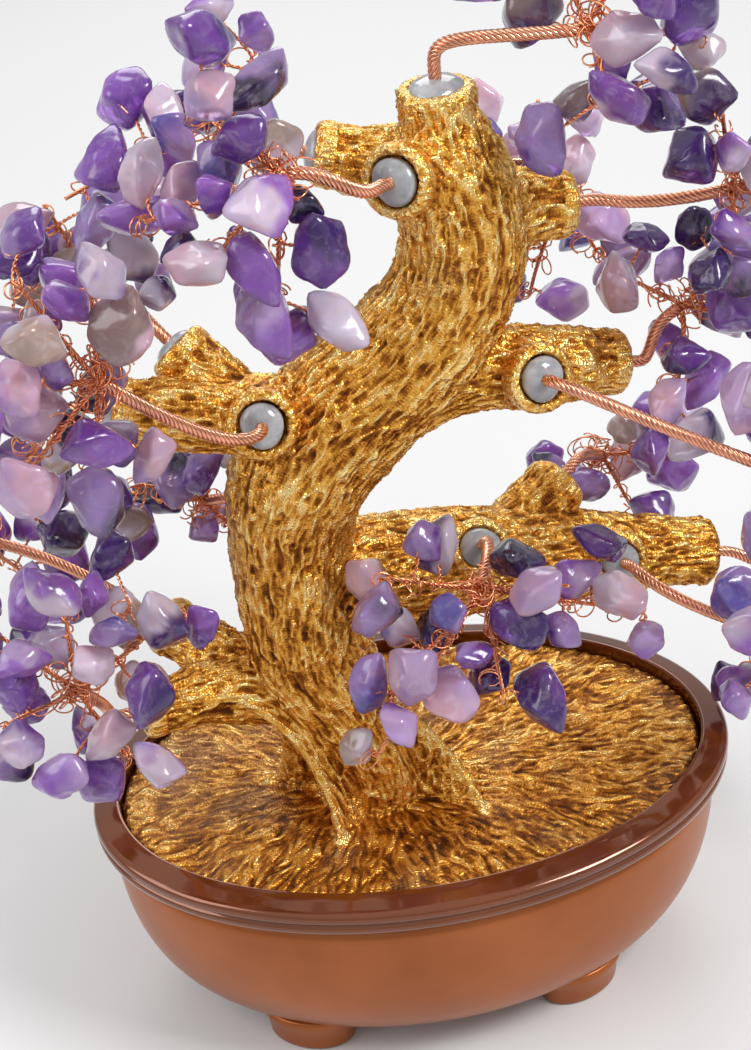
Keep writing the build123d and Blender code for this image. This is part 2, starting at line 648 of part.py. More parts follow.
pieces = [pot.part, tree_casting.part, glue_beads.part]
for name, bough in boughs.items():
    # The twisted stem
    points = stem_points(bough)
    with BuildPart() as stem:
        with BuildLine():
            Polyline(*points)
        with BuildSketch(square_on(points[0], points[1] - points[0])):
            RegularPolygon(stem_radius, stem_sides)
        sweep(transition=Transition.RIGHT)
    stem.part.label = f"{name}_stem"
    export_step(stem.part, f"parts/{stem.part.label}.step")

    # The parted strands: the branches, and a twig to each stone that stands off its branch
    rods = [rod(start, end, branch_radius, branch_sides) for start, end in branch_lines(bough)]
    rods += [rod(start, tip, twig_radius, twig_sides) for start, tip in twigs[name]]
    with BuildPart() as twig_wires:
        add(rods)
    twig_wires.part.label = f"{name}_twigs"
    export_step(twig_wires.part, f"parts/{twig_wires.part.label}.step")

    # The stones
    solids = []
    for corners, orders in stones[name]:
        outlines = [Wire.make_polygon([tuple(corners[k]) for k in order], close=True) for order in orders]
        solids.append(Solid(Shell([Face(outline) for outline in outlines])))
    with BuildPart() as chips:
        add(solids)
    chips.part.label = f"{name}_chips"
    export_step(chips.part, f"parts/{chips.part.label}.step")
    print(name, "stem", round(stem.part.volume, 1), "twigs", len(twig_wires.part.solids()),
          "chips", len(chips.part.solids()))
    pieces += [stem.part, twig_wires.part, chips.part]
print("size", Compound(pieces).bounding_box())
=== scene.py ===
"""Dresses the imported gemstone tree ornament: cast bark and grass, lacquer, copper, glue and tumbled stones.

Metres, in the part's frame: X along the pot's long side, -Y towards the viewer, Z up from the table.
The tables of the limbs and boughs repeat those of the part's source.
"""

from math import cos, pi, radians, sin, sqrt

import bpy
import numpy as np
from mathutils import Matrix, Vector, noise


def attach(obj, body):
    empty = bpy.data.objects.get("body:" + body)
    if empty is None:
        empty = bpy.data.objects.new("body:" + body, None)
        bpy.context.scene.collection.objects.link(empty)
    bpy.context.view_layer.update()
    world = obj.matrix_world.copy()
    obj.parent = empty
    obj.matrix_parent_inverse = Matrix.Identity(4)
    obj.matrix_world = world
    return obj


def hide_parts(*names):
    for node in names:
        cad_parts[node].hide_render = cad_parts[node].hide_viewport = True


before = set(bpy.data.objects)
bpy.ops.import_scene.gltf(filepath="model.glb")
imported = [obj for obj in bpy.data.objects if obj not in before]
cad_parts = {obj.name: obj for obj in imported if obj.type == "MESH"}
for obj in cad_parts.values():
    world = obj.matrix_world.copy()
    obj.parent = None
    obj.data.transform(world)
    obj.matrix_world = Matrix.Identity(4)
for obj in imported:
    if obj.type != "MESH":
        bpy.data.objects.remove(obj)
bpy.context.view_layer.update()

mm = 0.001

# Sizes of the part's source
pot_half_length, pot_half_depth = 0.065, 0.044
foot_height, foot_half_length, foot_half_width = 0.005, 0.0090, 0.006
foot_place_shares, foot_splay = (0.43, 0.50), 25
bowl_base_share, bowl_top_share, bowl_power, bowl_top = 0.555, 0.955, 2.6, 0.0422
tree_height, soil_height, trunk_radius = 0.142, 0.049, 0.013
mouth_radius, bore_depth = 0.0056, 0.005
stem_foot, stem_lead = 0.0004, 0.004
ground_half_length, ground_half_depth = 0.059, 0.038
ground_edge, ground_rise, ground_plateau = 0.047, 0.00124, 0.55
ridge_half, web_half, ridge_radius, ridge_steps = 0.0011, 0.0050, 0.0010, 16

# Skins before they are carved: the sides of their rings, their ends and the ground's underside
rim_sides, foot_sides, limb_sides, ridge_sides, ground_sides, bead_sides = 200, 48, 28, 10, 96, 28
bowl_steps, bowl_crowding, bowl_centre = 22, 1.8, 0.0001
cap_reach_shares, cap_width_shares = (0.45, 0.62), (0.78, 0.30)
stub_shares = np.array([0, 0.3, 0.55, 0.72, 0.84, 0.92, 0.97, 1.0])
stub_width_shares = np.array([1, 1, 0.98, 0.97, 1.02, 1.05, 1.03, 0.93])
root_sink, tuft_sink, ground_centre, ground_underside = 0.001, 0.001, 0.01, 0.040

# Carving of the bark and the grass: the size of each sort of mark, and how high it stands
skin_voxel, sample_step, limb_blend, soil_top, soil_fade = 0.00038, 0.0015, 0.0015, 0.0500, 0.0015
strand_size, strand_step, strand_samples, strand_height = 0.0023, 0.0013, 5, 0.00062
thread_size, thread_step, thread_samples, thread_height = 0.0013, 0.0008, 4, 0.00034
blade_size, blade_step, blade_samples, blade_height = 0.0011, 0.0006, 4, 0.00042
lump_size, lump_height, bark_sink, mark_sharpness, batch_length = 0.0085, 0.0006, 0.00045, 2.6, 6000
swing_size, bend_size, bend_reach, mound_size, mound_height = 0.0035, 0.005, 0.0016, 0.005, 0.00025
socket_hollow, socket_depth, socket_wall, socket_edge, socket_ring = 0.0045, 0.0014, 0.0011, 0.0008, 0.0017
socket_floor, ring_floor, socket_reach, ring_height = -0.0025, -0.0030, 0.0018, 0.00045
crest_width, crest_samples = 0.0010, 60

# Where the bark is painted lighter towards the top (painted light), the ground painted darker towards the
# front (painted shade) and greyer towards the left and back (painted reflection), over which stretch, and the
# size of the dust patches
top_light_start, top_light_span, shade_start, shade_span = 0.120, 0.060, 0.010, 0.015
reflection_left, reflection_left_span, reflection_front, reflection_front_span = 0.012, 0.030, -0.022, 0.020
bark_dust_size, soil_dust_size = 0.014, 0.012

# Beads and stones
bead_radius, top_bead_radius, bead_rise_share, bead_sink = 0.0040, 0.0050, 0.95, 0.0002
stone_swell, stone_sharpness = 1.12, 9

# Copper: stems, branches, the wire wound round each branch, loose turns, twisted pairs, loops and curls.
# The winding's turn, sway and swell are the lengths of branch for one radian of each
course_steps, core_step, core_radius = 40, 0.0008, 0.00054
stem_strands, strand_ring, strand_radius, strand_pitch = 7, 0.00081, 0.00034, 0.0070
branch_strands, branch_ring, branch_strand_radius, branch_pitch = 4, 0.00034, 0.00023, 0.0042
branch_steps, branch_root, branch_lead, branch_wave, branch_taper = 24, 0.0006, 0.0022, 0.0005, 0.35
wire_radius, curl_radius, wire_sides = 0.00017, 0.00016, 5
winding_step, winding_turn, winding_sway, winding_swell = 0.0004, 0.0008, 0.0021, 0.0037
winding_ring, winding_spread, winding_share = 0.0007, 0.0006, 0.8
turn_count, turn_steps, turn_small, turn_large = 16, 26, 0.0012, 0.0034
turn_lead, turn_scatter, turn_drift = 0.002, 0.0018, 0.0004
pair_steps, pair_ring, pair_pitch, pair_sway = 12, 0.00018, 0.0022, 0.0009
pair_gap, pair_shortest, touch_share = 0.0004, 0.0008, 0.96
loop_steps, loop_angle, loop_rise, loop_dive = 12, 62, 0.00012, (0.0003, 0.0011, 0.0022)
curl_steps, curl_small, curl_large, drift_least, drift_most = 26, 0.0011, 0.0022, 0.001, 0.003

limb_shares = {
    "trunk": [
        (-0.063, -0.025, -0.040, 0.95), (-0.065, -0.025, 0.030, 0.86), (-0.092, -0.020, 0.115, 0.85),
        (-0.118, -0.013, 0.190, 0.88), (-0.131, -0.008, 0.280, 0.90), (-0.134, 0.000, 0.400, 0.88),
        (-0.115, 0.000, 0.500, 1.00),
        (-0.050, 0.000, 0.580, 1.02), (0.030, -0.010, 0.650, 0.94), (0.092, -0.018, 0.730, 0.86),
        (0.116, -0.020, 0.810, 0.84), (0.105, -0.020, 0.890, 0.78), (0.095, -0.020, 0.950, 0.60),
    ],
    "left_arm": [
        (-0.070, 0.000, 0.555, 0.72), (-0.150, -0.003, 0.595, 0.58), (-0.230, -0.008, 0.612, 0.52),
        (-0.290, -0.012, 0.628, 0.47),
    ],
    "right_arm": [
        (-0.010, 0.000, 0.585, 0.74), (0.090, -0.006, 0.618, 0.60), (0.180, -0.006, 0.612, 0.56),
        (0.260, 0.008, 0.594, 0.51),
    ],
    "lower_right_arm": [
        (-0.090, 0.010, 0.320, 0.86), (0.020, 0.040, 0.300, 0.84), (0.130, 0.062, 0.277, 0.80),
        (0.240, 0.080, 0.252, 0.72), (0.340, 0.090, 0.228, 0.62), (0.410, 0.096, 0.213, 0.55),
    ],
    "lower_left_arm": [
        (-0.110, -0.005, 0.200, 0.80), (-0.160, -0.004, 0.172, 0.64), (-0.240, -0.010, 0.180, 0.52),
        (-0.300, -0.024, 0.188, 0.44),
    ],
}
root_shares = [
    ((-0.225, -0.056, 0.190), (-0.123, -0.088, 0.116), (-0.125, -0.149, -0.014)),
    ((-0.063, -0.028, 0.176), (0.077, -0.056, 0.028), (0.077, -0.137, -0.014)),
    ((-0.067, -0.007, 0.162), (-0.007, 0.011, 0.014), (0.045, 0.042, -0.014)),
    ((-0.120, 0.056, 0.176), (-0.080, 0.050, 0.021), (-0.092, 0.125, -0.014)),
    ((-0.190, -0.007, 0.148), (-0.150, -0.011, 0.014), (-0.222, 0.010, -0.014)),
]
tuft_count, tuft_length, tuft_width, tuft_tip_share, tuft_rise = 56, 0.008, 0.0008, 0.3, 0.0009
golden_turn = pi * (3 - sqrt(5))

boughs = {
    "top": dict(
        root=(0.095, -0.020, 0.920), mouth=(0.093, -0.020, 1.000), girth=0.56, flare=1.12,
        course=[(0.100, -0.040, 1.070), (0.165, -0.062, 1.065)], parting=(0.250, -0.080, 1.070),
        ends=[(0.38, -0.10, 1.05), (0.34, -0.06, 1.19), (0.24, 0.00, 1.16), (0.27, -0.14, 1.01)]),
    "upper_left_front": dict(
        root=(0.080, -0.020, 0.900), mouth=(0.025, -0.096, 0.926), girth=0.52, flare=1.0,
        course=[(-0.020, -0.165, 0.930), (-0.050, -0.165, 0.985)], parting=(-0.100, -0.165, 0.985),
        ends=[(-0.26, -0.14, 0.94), (-0.13, -0.14, 0.80), (-0.20, -0.19, 0.90), (-0.18, -0.11, 1.04)]),
    "upper_left": dict(
        root=(0.090, 0.000, 0.890), mouth=(-0.050, 0.016, 0.926), girth=0.62, flare=0.86,
        course=[(-0.100, 0.050, 0.940)], parting=(-0.150, 0.075, 0.960),
        ends=[(-0.24, 0.10, 0.93), (-0.35, 0.09, 0.88), (-0.10, 0.16, 1.00)]),
    "upper_right": dict(
        root=(0.115, -0.012, 0.835), mouth=(0.252, 0.012, 0.818), girth=0.66, flare=0.94,
        course=[(0.330, 0.010, 0.800), (0.390, -0.020, 0.815)], parting=(0.440, -0.040, 0.830),
        ends=[(0.42, -0.07, 0.94), (0.43, -0.05, 0.74), (0.56, -0.06, 0.88), (0.56, -0.02, 0.77)]),
    "upper_back": dict(
        root=(0.105, -0.015, 0.790), mouth=(0.135, 0.082, 0.800), girth=0.54, flare=0.95,
        course=[(0.190, 0.170, 0.820), (0.260, 0.220, 0.800)], parting=(0.290, 0.225, 0.740),
        ends=[(0.27, 0.24, 0.86), (0.17, 0.24, 0.79), (0.34, 0.22, 0.64), (0.25, 0.24, 0.58)]),
    "middle_right_front": dict(
        root=(0.175, -0.010, 0.606), mouth=(0.192, -0.086, 0.634), girth=0.52, flare=1.0,
        course=[(0.270, -0.140, 0.610), (0.370, -0.200, 0.570)], parting=(0.450, -0.230, 0.540),
        ends=[(0.57, -0.24, 0.53), (0.50, -0.20, 0.65), (0.50, -0.29, 0.42)]),
    "middle_right": dict(
        root=(0.215, 0.002, 0.604), mouth=(0.315, 0.020, 0.580), girth=0.55, flare=0.96,
        course=[(0.350, 0.030, 0.620)], parting=(0.400, 0.030, 0.640),
        ends=[(0.48, 0.01, 0.72), (0.38, -0.03, 0.53), (0.33, 0.07, 0.68), (0.52, 0.02, 0.60)]),
    "middle_left_front": dict(
        root=(-0.150, -0.004, 0.598), mouth=(-0.158, -0.086, 0.628), girth=0.54, flare=1.0,
        course=[(-0.190, -0.150, 0.630), (-0.250, -0.180, 0.690)], parting=(-0.335, -0.200, 0.780),
        ends=[(-0.41, -0.20, 0.92), (-0.33, -0.19, 0.91), (-0.45, -0.21, 0.67), (-0.36, -0.17, 0.66),
              (-0.51, -0.19, 0.80)]),
    "middle_left": dict(
        root=(-0.250, -0.009, 0.617), mouth=(-0.337, -0.015, 0.643), girth=0.50, flare=0.92,
        course=[(-0.370, 0.000, 0.645)], parting=(-0.420, 0.020, 0.620),
        ends=[(-0.48, 0.04, 0.49), (-0.56, 0.03, 0.66), (-0.44, 0.10, 0.68)]),
    "middle_left_back": dict(
        root=(-0.175, 0.006, 0.596), mouth=(-0.246, 0.056, 0.676), girth=0.54, flare=0.92,
        course=[(-0.290, 0.120, 0.720)], parting=(-0.330, 0.160, 0.730),
        ends=[(-0.42, 0.18, 0.74), (-0.38, 0.19, 0.83), (-0.26, 0.23, 0.74)]),
    "lower_right_front": dict(
        root=(0.110, 0.056, 0.280), mouth=(0.117, -0.004, 0.342), girth=0.58, flare=0.95,
        course=[(0.120, -0.050, 0.370)], parting=(0.095, -0.120, 0.365),
        ends=[(-0.04, -0.15, 0.42), (-0.04, -0.19, 0.27), (0.10, -0.20, 0.25), (0.20, -0.16, 0.37),
              (0.30, -0.15, 0.30), (-0.07, -0.21, 0.19)]),
    "lower_right": dict(
        root=(0.360, 0.092, 0.223), mouth=(0.462, 0.100, 0.200), girth=0.58, flare=1.18,
        course=[(0.530, 0.100, 0.165)], parting=(0.575, 0.090, 0.155),
        ends=[(0.645, 0.08, 0.15), (0.62, 0.05, 0.03), (0.59, 0.12, 0.26)]),
    "lower_right_back": dict(
        root=(0.150, 0.070, 0.270), mouth=(0.262, 0.152, 0.325), girth=0.62, flare=1.0,
        course=[(0.310, 0.200, 0.330)], parting=(0.345, 0.240, 0.300),
        ends=[(0.44, 0.23, 0.30), (0.40, 0.25, 0.18), (0.30, 0.26, 0.24)]),
    "lower_right_side": dict(
        root=(0.300, 0.084, 0.238), mouth=(0.314, 0.014, 0.268), girth=0.52, flare=0.95,
        course=[(0.330, -0.060, 0.270), (0.400, -0.110, 0.250)], parting=(0.460, -0.130, 0.230),
        ends=[(0.46, -0.14, 0.12), (0.56, -0.15, 0.20), (0.50, -0.17, 0.31)]),
    "lower_left_front": dict(
        root=(-0.270, -0.018, 0.184), mouth=(-0.360, -0.040, 0.192), girth=0.46, flare=0.92,
        course=[(-0.395, -0.080, 0.220), (-0.400, -0.130, 0.280)], parting=(-0.430, -0.160, 0.330),
        ends=[(-0.35, -0.15, 0.44), (-0.43, -0.14, 0.48), (-0.53, -0.18, 0.31), (-0.39, -0.18, 0.24),
              (-0.51, -0.16, 0.43), (-0.29, -0.12, 0.40)]),
    "lower_left_back": dict(
        root=(-0.190, 0.000, 0.172), mouth=(-0.318, 0.096, 0.232), girth=0.54, flare=0.95,
        course=[(-0.400, 0.150, 0.290), (-0.480, 0.180, 0.330)], parting=(-0.540, 0.195, 0.345),
        ends=[(-0.65, 0.18, 0.28), (-0.59, 0.21, 0.43), (-0.50, 0.24, 0.24)]),
    "lower_back": dict(
        root=(-0.118, 0.000, 0.350), mouth=(-0.145, 0.092, 0.372), girth=0.54, flare=0.95,
        course=[(-0.180, 0.170, 0.370)], parting=(-0.230, 0.220, 0.340),
        ends=[(-0.32, 0.24, 0.37), (-0.19, 0.25, 0.25), (-0.22, 0.25, 0.44)]),
}


# Camera, from the view that the photograph's pot and trunk give

photo_height = 1050
turn, rise, roll = radians(-6.619), radians(33.718), radians(-5.306)
look_share, look_height, look_distance, look_pixels = -0.002997, 0.105762, 0.380266, 2030.243
back = Vector((sin(turn) * cos(rise), -cos(turn) * cos(rise), sin(rise)))
right = Vector((cos(turn), sin(turn), 0))
up = back.cross(right)
right, up = cos(roll) * right + sin(roll) * up, cos(roll) * up - sin(roll) * right
camera = bpy.data.objects.new("camera", bpy.data.cameras.new("camera"))
camera.data.sensor_width = 36
camera.data.lens = 36 * look_pixels / photo_height
camera.data.clip_start, camera.data.clip_end = 0.01, 20
place = Vector((look_share * cos(turn), look_share * sin(turn), look_height)) + back * look_distance
camera.matrix_world = Matrix((
    (right.x, up.x, back.x, place.x),
    (right.y, up.y, back.y, place.y),
    (right.z, up.z, back.z, place.z),
    (0, 0, 0, 1),
))
bpy.context.scene.collection.objects.link(camera)
bpy.context.scene.camera = camera
bpy.context.scene.view_settings.view_transform = "Standard"


# Points, routes and meshes

def unit(vector):
    return vector / np.linalg.norm(vector)


def at(x_share, y_share, up_share):
    return np.array([x_share, y_share, up_share]) * tree_height + np.array([0, 0, soil_height])


def square_on(direction):
    """Three directions: two across the given one, turned as the part's source turns them, and itself."""
    ahead = unit(direction)
    steady = np.array([0.0, 1.0, 0.0]) if abs(ahead[1]) < 0.7 else np.array([1.0, 0.0, 0.0])
    across = unit(np.cross(np.cross(ahead, steady), ahead))
    return across, np.cross(ahead, across), ahead


def bezier(points, steps):
    """Points on the curve that these points pull, from its start to its end."""
    shares = np.linspace(0, 1, steps)[:, None]
    rows = [np.repeat(np.array(point)[None], steps, axis=0) for point in points]
    while len(rows) > 1:
        rows = [a + (b - a) * shares for a, b in zip(rows, rows[1:])]
    return rows[0]


def smooth_through(rows, steps):
    """Rows of numbers along a smooth line through the given rows."""
    rows = np.array(rows, float)
    padded = np.vstack([2 * rows[0] - rows[1], rows, 2 * rows[-1] - rows[-2]])
    out = []
    for k in range(len(rows) - 1):
        a, b, c, d = padded[k:k + 4]
        for t in np.linspace(0, 1, steps, endpoint=False):
            out.append(0.5 * (2 * b + (c - a) * t + (2 * a - 5 * b + 4 * c - d) * t**2
                              + (3 * b - 3 * c + d - a) * t**3))
    return np.array(out + [rows[-1]])


def even(points, step):
    """The same line with points an even step apart, and how far along it each point lies."""
    runs = np.linalg.norm(np.diff(points, axis=0), axis=1)
    along = np.concatenate([[0], np.cumsum(runs)])
    count = max(3, int(along[-1] / step) + 1)
    want = np.linspace(0, along[-1], count)
    return np.stack([np.interp(want, along, points[:, k]) for k in range(3)], axis=1), want


def frames_along(points):
    """Two directions across a line at each of its points, carried along without twist."""
    ahead = np.gradient(points, axis=0)
    ahead /= np.linalg.norm(ahead, axis=1)[:, None]
    side = np.empty_like(points)
    side[0] = square_on(ahead[0])[0]
    for k in range(1, len(points)):
        carried = side[k - 1] - ahead[k] * (side[k - 1] @ ahead[k])
        side[k] = carried / sqrt(carried @ carried)
    return side, np.cross(ahead, side), ahead


class Build:
    """Collects vertices and faces of one piece."""

    def __init__(self):
        self.rows, self.faces, self.count = [], [], 0

    def add(self, verts, faces):
        self.rows.append(verts)
        self.faces += [[k + self.count for k in face] for face in faces]
        self.count += len(verts)

    def tube(self, points, radii, sides):
        """A closed tube along a line."""
        side, over, _ = frames_along(points)
        radii = np.broadcast_to(radii, len(points))[:, None, None]
        angles = np.arange(sides) * 2 * pi / sides
        rings = side[:, None] * np.cos(angles)[None, :, None] + over[:, None] * np.sin(angles)[None, :, None]
        verts = (points[:, None] + rings * radii).reshape(-1, 3)
        self.add(verts, ring_faces(len(points), sides))


def ring_faces(rings, sides):
    """Faces of a closed skin over rings of points."""
    start = np.arange(rings - 1)[:, None] * sides
    a = start + np.arange(sides)[None]
    b = start + (np.arange(sides)[None] + 1) % sides
    quads = np.stack([a, b, b + sides, a + sides], axis=2).reshape(-1, 4).tolist()
    quads.append(list(range(sides))[::-1])
    quads.append([(rings - 1) * sides + k for k in range(sides)])
    return quads


def piece_of(name, build, material, nodes):
    """A piece of the scene from its built mesh, in place of these nodes of the part."""
    mesh = bpy.data.meshes.new(name)
    mesh.from_pydata(np.vstack(build.rows).tolist(), [], build.faces)
    mesh.validate()
    mesh.polygons.foreach_set("use_smooth", np.ones(len(mesh.polygons), bool))
    mesh.materials.append(material)
    piece = bpy.data.objects.new(name, mesh)
    bpy.context.scene.collection.objects.link(piece)
    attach(piece, "root")
    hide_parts(*nodes)
    return piece


def paint(mesh, name, values):
    """Stores a colour at each vertex."""
    layer = mesh.attributes.new(name, "FLOAT_COLOR", "POINT")
    full = np.ones((len(mesh.vertices), 4), np.float32)
    full[:, :3] = values
    layer.data.foreach_set("color", full.ravel())


# Materials

def linear(code):
    """A colour written as six hex digits, as linear light."""
    parts = [int(code[k:k + 2], 16) / 255 for k in (0, 2, 4)]
    return [part / 12.92 if part <= 0.04045 else ((part + 0.055) / 1.055) ** 2.4 for part in parts]


class Shader:
    """A node material with one principled surface."""

    def __init__(self, name, **values):
        self.material = bpy.data.materials.new(name)
        self.material.use_nodes = True
        self.tree = self.material.node_tree
        self.tree.nodes.clear()
        self.surface = self.node("ShaderNodeBsdfPrincipled")
        output = self.node("ShaderNodeOutputMaterial")
        self.tree.links.new(self.surface.outputs[0], output.inputs[0])
        for key, value in values.items():
            self.surface.inputs[key.replace("_", " ")].default_value = value

    def node(self, kind, **values):
        made = self.tree.nodes.new(kind)
        for key, value in values.items():
            setattr(made, key, value)
        return made

    def link(self, start, end):
        self.tree.links.new(start, end)

    def place(self):
        """Object coordinates, in metres."""
        return self.node("ShaderNodeTexCoord").outputs["Object"]

    def noise(self, size, detail=3.0, rough=0.55, twist=0.0, where=None):
        """Noise whose features have this size in metres."""
        made = self.node("ShaderNodeTexNoise")
        made.inputs["Scale"].default_value = 1 / size
        made.inputs["Detail"].default_value = detail
        made.inputs["Roughness"].default_value = rough
        made.inputs["Distortion"].default_value = twist
        self.link(where or self.place(), made.inputs["Vector"])
        return made.outputs["Fac"]

    def strokes(self, size, step, times):
        """Noise drawn out along the direction stored at each point, from 0 to 1."""
        way = self.node("ShaderNodeAttribute", attribute_name="flow").outputs["Vector"]
        here = self.place()
        total = None
        for number in range(times):
            shifted = self.node("ShaderNodeVectorMath", operation="MULTIPLY_ADD")
            shifted.inputs[1].default_value = [(number - (times - 1) / 2) * step] * 3
            self.link(way, shifted.inputs[0])
            self.link(here, shifted.inputs[2])
            level = self.noise(size, detail=1.5, rough=0.5, where=shifted.outputs[0])
            total = level if total is None else self.mix(1 / (number + 1), total, level)
        return self.ramp(total, [(0.42, 0.0), (0.60, 1.0)])

    def ramp(self, value, stops):
        """A ramp of grey levels or colours."""
        made = self.node("ShaderNodeValToRGB")
        ramp = made.color_ramp
        while len(ramp.elements) < len(stops):
            ramp.elements.new(0.5)
        for element, (share, colour) in zip(ramp.elements, stops):
            element.position = share
            element.color = (*colour, 1) if hasattr(colour, "__len__") else (colour, colour, colour, 1)
        self.link(value, made.inputs["Fac"])
        return made.outputs["Color"]

    def mix(self, factor, a, b):
        made = self.node("ShaderNodeMix", data_type="RGBA")
        for socket, value in ((made.inputs[0], factor), (made.inputs[6], a), (made.inputs[7], b)):
            if isinstance(value, bpy.types.NodeSocket):
                self.link(value, socket)
            elif hasattr(value, "__len__"):
                socket.default_value = (*value, 1)
            else:
                socket.default_value = value
        return made.outputs[2]

    def bump(self, height, depth, strength=1.0):
        made = self.node("ShaderNodeBump")
        made.inputs["Strength"].default_value = strength
        made.inputs["Distance"].default_value = depth
        self.link(height, made.inputs["Height"])
        self.link(made.outputs["Normal"], self.surface.inputs["Normal"])

    def attribute(self, name):
        made = self.node("ShaderNodeAttribute", attribute_name=name)
        return made.outputs["Color"]


def gold_material():
    """Antique gold: bright on the crests of the carving, red-brown in its pits, grey-brown where dusty and
    less rubbed; the same grey-brown is painted reflection on flanks facing left and back and towards the
    ground's left and back.
    """
    made = Shader("antique_gold", Metallic=0.85)
    parts = made.node("ShaderNodeSeparateColor")
    made.link(made.attribute("relief_and_light"), parts.inputs[0])
    stroke = made.strokes(size=0.0009, step=0.0006, times=5)
    level = made.mix(0.38, parts.outputs[0], stroke)
    level = made.mix(0.15, level, made.ramp(made.noise(0.009, detail=2), [(0.3, 0.0), (0.7, 1.0)]))
    colour = made.ramp(level, [(0.22, linear("55270a")), (0.38, linear("a5621a")), (0.52, linear("eaa840")),
                               (0.74, linear("ffdf92"))])
    # Grey-brown mixed in by the second channel: dust, and painted reflection on left- and back-facing
    # surfaces
    made.link(made.mix(parts.outputs[1], colour, linear("97775a")), made.surface.inputs["Base Color"])
    made.link(made.ramp(level, [(0.25, 0.55), (0.42, 0.36), (0.65, 0.22)]), made.surface.inputs["Roughness"])
    made.bump(stroke, depth=0.00032)
    return made.material


def lacquer_material(name, colour, deep, metal, roughness, coat):
    """Copper-brown lacquer, a little uneven."""
    made = Shader(name, Metallic=metal, Coat_Weight=coat, Coat_Roughness=0.05, Roughness=roughness)
    wide = made.ramp(made.noise(0.030, rough=0.5), [(0.35, 0.0), (0.65, 1.0)])
    made.link(made.mix(wide, deep, colour), made.surface.inputs["Base Color"])
    made.bump(made.noise(0.0009, detail=2, rough=0.5), depth=0.00002, strength=0.5)
    return made.material


def copper_material(name, colour, roughness):
    made = Shader(name, Metallic=1.0, Roughness=roughness)
    wide = made.noise(0.004, detail=2)
    made.link(made.mix(made.ramp(wide, [(0.3, 0.0), (0.7, 1.0)]), colour, [part * 0.72 for part in colour]),
              made.surface.inputs["Base Color"])
    made.bump(made.noise(0.0006, detail=2), depth=0.00003, strength=0.4)
    return made.material


def stone_material():
    """Tumbled amethyst: clear under its polish, in the colours stored at each point, with faint veils."""
    made = Shader("amethyst", Roughness=0.16, IOR=1.54, Transmission_Weight=0.50, Coat_Weight=0.25,
                  Coat_Roughness=0.05, Subsurface_Weight=0.35, Subsurface_Scale=0.003)
    veil = made.ramp(made.noise(0.0030, rough=0.6, twist=1.5), [(0.50, 0.0), (0.75, 0.30)])
    made.link(made.mix(veil, made.attribute("tint"), linear("d9cfdc")), made.surface.inputs["Base Color"])
    made.bump(made.noise(0.0035, detail=2), depth=0.00012, strength=0.3)
    return made.material


def glue_material():
    """Cloudy grey glue."""
    made = Shader("glue", Roughness=0.14, IOR=1.48, Transmission_Weight=0.35, Coat_Weight=0.5,
                  Coat_Roughness=0.04, Subsurface_Weight=0.3, Subsurface_Scale=0.002)
    made.link(made.ramp(made.noise(0.003, detail=2), [(0.3, linear("a6abb1")), (0.7, linear("d6d9dc"))]),
              made.surface.inputs["Base Color"])
    made.bump(made.noise(0.0018, detail=2), depth=0.0002, strength=0.3)
    return made.material


antique_gold = gold_material()
bowl_lacquer = lacquer_material(
    "bowl_lacquer", linear("ab5f2b"), linear("964f1e"), metal=0.55, roughness=0.34, coat=0.10)
rim_lacquer = lacquer_material(
    "rim_lacquer", linear("783a0f"), linear("6a330c"), metal=0.45, roughness=0.12, coat=0.75)
copper = copper_material("copper", linear("fbb896"), roughness=0.24)
fine_copper = copper_material("fine_copper", linear("ffae80"), roughness=0.24)
amethyst = stone_material()
glue = glue_material()


# Pot: bowl, lip, rolled rim and recess as one skin of oval rings, with four feet

def oval_rings(rings, sides):
    angles = np.arange(sides) * 2 * pi / sides
    return np.vstack([
        np.stack([a * np.cos(angles), b * np.sin(angles), np.full(sides, z)], axis=1) for a, b, z in rings
    ])


def bowl_ring(level):
    bulge = (1 - (1 - level) ** bowl_power) ** (1 / bowl_power)
    share = bowl_base_share + (bowl_top_share - bowl_base_share) * bulge
    return pot_half_length * share, pot_half_depth * share, foot_height + (bowl_top - foot_height) * level


bowl_rings = [(bowl_centre, bowl_centre, foot_height)]
bowl_rings += [bowl_ring((k / bowl_steps) ** bowl_crowding) for k in range(bowl_steps + 1)]
bowl = Build()
bowl.add(oval_rings(bowl_rings, rim_sides), ring_faces(len(bowl_rings), rim_sides))
# Each row of the profiles is in millimetres: how far out or in, and how high
foot_profile = [
    (-5.9, 0.0), (-0.9, 0.0), (-0.4, 0.15), (-0.1, 0.6), (0.0, 1.4), (0.2, 3.5), (1.0, 6.5), (1.6, 8.5),
    (0.8, 9.0),
]
for x_side, y_side in ((-1, -1), (-1, 1), (1, -1), (1, 1)):
    foot_turn = radians(-x_side * y_side * foot_splay)
    rows = []
    for spread, height in foot_profile:
        size = [(foot_half_length + spread * mm, foot_half_width + spread * mm, height * mm)]
        ring = oval_rings(size, foot_sides)
        turned = ring.copy()
        turned[:, 0] = ring[:, 0] * cos(foot_turn) - ring[:, 1] * sin(foot_turn)
        turned[:, 1] = ring[:, 0] * sin(foot_turn) + ring[:, 1] * cos(foot_turn)
        turned[:, 0] += x_side * foot_place_shares[0] * pot_half_length
        turned[:, 1] += y_side * foot_place_shares[1] * pot_half_depth
        rows.append(turned)
    bowl.add(np.vstack(rows), ring_faces(len(rows), foot_sides))
piece_of("pot_bowl", bowl, bowl_lacquer, ["pot"])

